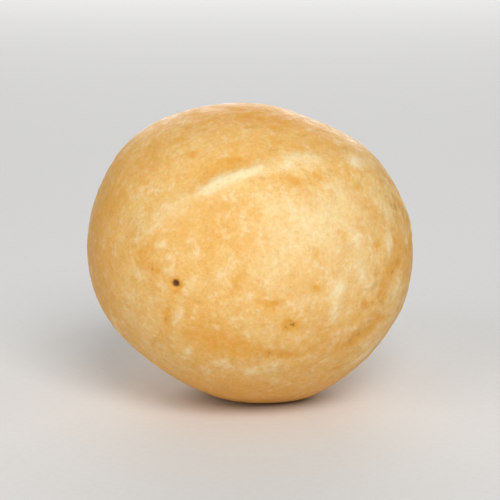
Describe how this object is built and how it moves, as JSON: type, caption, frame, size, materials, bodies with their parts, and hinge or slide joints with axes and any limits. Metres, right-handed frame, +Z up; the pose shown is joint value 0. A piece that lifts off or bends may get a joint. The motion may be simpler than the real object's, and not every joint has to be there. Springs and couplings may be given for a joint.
{
  "type": "shelled macadamia nut",
  "caption": "Whole shelled macadamia kernel: a round, pale gold nut with shallow flats, a low seam ridge and a small flat spot it rests on.",
  "frame": {"origin": "bottom centre of the bounding box, in the plane of the resting spot", "axes": "+X along the longest width, +Z up, and the smooth face looks along -Y"},
  "size_m": [0.0204, 0.02, 0.0187],
  "materials": {
    "kernel_flesh": "waxy satin, with a fine matte grain round the smooth face"
  },
  "bodies": {
    "root": {"kernel": "kernel_flesh"}
  },
  "joints": []
}
